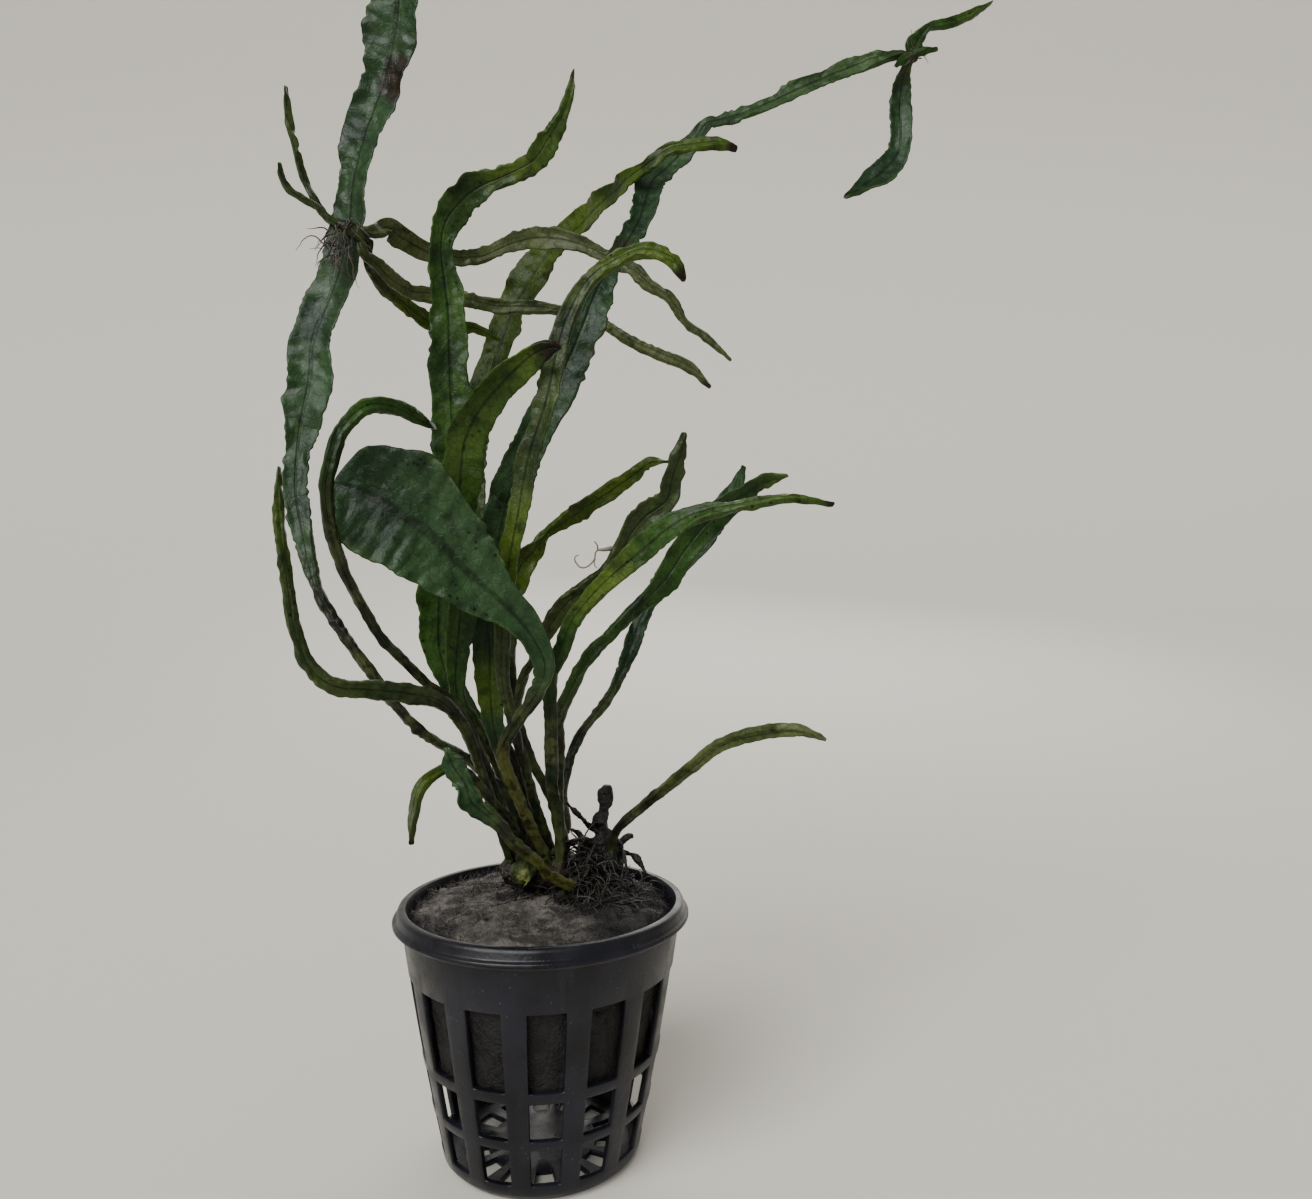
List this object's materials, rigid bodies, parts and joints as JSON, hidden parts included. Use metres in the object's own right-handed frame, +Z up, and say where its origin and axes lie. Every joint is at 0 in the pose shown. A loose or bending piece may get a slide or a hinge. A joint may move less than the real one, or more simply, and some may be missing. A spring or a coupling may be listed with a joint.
{
  "type": "potted narrow leaf java fern",
  "caption": "Narrow leaf java fern for an aquarium: long ribbon leaves rise from a creeping rhizome on a wool plug in a slatted net pot, with plantlets on old leaves.",
  "frame": {"origin": "centre of the pot's underside, on the surface that it stands on", "axes": "+Z up, -Y towards the viewer of the picture, +X to the viewer's right"},
  "size_m": [0.1366, 0.0633, 0.2232],
  "materials": {
    "pot_plastic": "satin black moulded plastic with a grey sheen and dusty scuffs",
    "wool": "wet brown-grey mineral wool, fibrous and mottled",
    "rootstock": "dark brown to black rhizome and roots with green growing ends; one curled root is pale",
    "leaf_dark": "wet bottle-green leaf with a dark midrib",
    "leaf_mid": "wet mid-green leaf with an olive stalk",
    "leaf_lime": "wet yellow-green leaf, slightly see-through",
    "leaf_olive": "wet olive-green leaf with a brown stalk"
  },
  "bodies": {
    "root": {"net_pot": "pot_plastic", "rockwool": "wool", "rhizome": "rootstock", "leaf_01": "leaf_dark", "leaf_02": "leaf_olive", "leaf_03": "leaf_mid", "leaf_04": "leaf_dark", "leaf_05": "leaf_mid", "leaf_06": "leaf_dark", "leaf_07": "leaf_mid", "leaf_08": "leaf_lime", "leaf_09": "leaf_olive", "leaf_10": "leaf_lime", "leaf_11": "leaf_olive", "leaf_12": "leaf_mid", "leaf_13": "leaf_mid", "leaf_14": "leaf_dark", "leaf_15": "leaf_lime", "leaf_16": "leaf_olive", "leaf_17": "leaf_dark", "plantlet_leaf_upper": "leaf_olive", "plantlet_leaf_lower": "leaf_lime", "plantlet_leaf_hanging": "leaf_dark", "plantlet_low": "leaf_olive", "plantlet_tip": "leaf_mid"}
  },
  "joints": []
}
